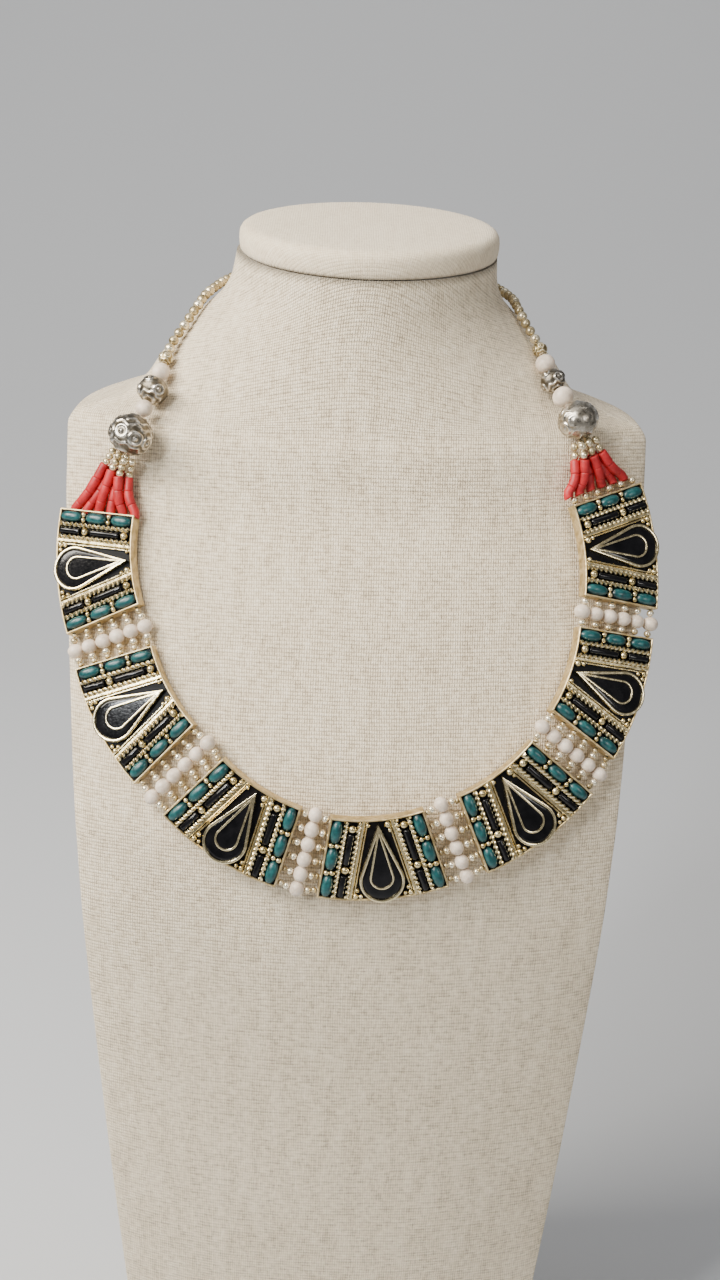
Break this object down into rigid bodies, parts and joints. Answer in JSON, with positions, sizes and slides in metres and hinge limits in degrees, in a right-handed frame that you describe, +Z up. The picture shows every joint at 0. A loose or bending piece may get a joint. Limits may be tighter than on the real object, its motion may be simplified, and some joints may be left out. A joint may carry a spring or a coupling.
{
  "type": "bib necklace on a neck bust",
  "caption": "Collar necklace of inlaid metal panels strung on bead strands, worn by a linen covered neck bust with a flat base.",
  "frame": {"origin": "on the bust's flat base, under the middle of the neck", "axes": "+Z up through the neck, -Y towards the front of the chest, +X to the right of a viewer who faces the front"},
  "size_m": [0.1942, 0.1606, 0.44],
  "materials": {
    "linen": "natural linen, plain weave, drawn tight over a form",
    "white_metal": "pale worn brass or white metal, softly polished",
    "old_silver": "darkened silver with bright high spots",
    "black_inlay": "glossy black stone or filler",
    "teal_stone": "polished dark teal stone",
    "white_stone": "off-white polished stone beads",
    "red_coral": "red coral coloured tube beads, satin"
  },
  "bodies": {
    "root": {"back_string_left": "old_silver", "back_string_right": "old_silver", "carved_bead_left": "old_silver", "carved_bead_right": "old_silver", "clasp": "old_silver", "coral_fan_left": "red_coral", "coral_fan_right": "red_coral", "gap_strands_1": "white_stone", "gap_strands_2": "white_stone", "gap_strands_3": "white_stone", "gap_strands_4": "white_stone", "gap_strands_5": "white_stone", "gap_strands_6": "white_stone", "neck_bust": "linen", "neck_pad": "linen", "ornate_bead_left": "old_silver", "ornate_bead_right": "old_silver", "panel_inlay_1": "black_inlay", "panel_inlay_2": "black_inlay", "panel_inlay_3": "black_inlay", "panel_inlay_4": "black_inlay", "panel_inlay_5": "black_inlay", "panel_inlay_6": "black_inlay", "panel_inlay_7": "black_inlay", "panel_tray_1": "white_metal", "panel_tray_2": "white_metal", "panel_tray_3": "white_metal", "panel_tray_4": "white_metal", "panel_tray_5": "white_metal", "panel_tray_6": "white_metal", "panel_tray_7": "white_metal", "seed_fan_left": "old_silver", "seed_fan_right": "old_silver", "small_carved_bead_left": "old_silver", "small_carved_bead_right": "old_silver", "stone_row_1a": "teal_stone", "stone_row_1b": "teal_stone", "stone_row_2a": "teal_stone", "stone_row_2b": "teal_stone", "stone_row_3a": "teal_stone", "stone_row_3b": "teal_stone", "stone_row_4a": "teal_stone", "stone_row_4b": "teal_stone", "stone_row_5a": "teal_stone", "stone_row_5b": "teal_stone", "stone_row_6a": "teal_stone", "stone_row_6b": "teal_stone", "stone_row_7a": "teal_stone", "stone_row_7b": "teal_stone", "teardrop_1": "black_inlay", "teardrop_2": "black_inlay", "teardrop_3": "black_inlay", "teardrop_4": "black_inlay", "teardrop_5": "black_inlay", "teardrop_6": "black_inlay", "teardrop_7": "black_inlay", "white_bead_1_left": "white_stone", "white_bead_1_right": "white_stone", "white_bead_2_left": "white_stone", "white_bead_2_right": "white_stone"}
  },
  "joints": []
}
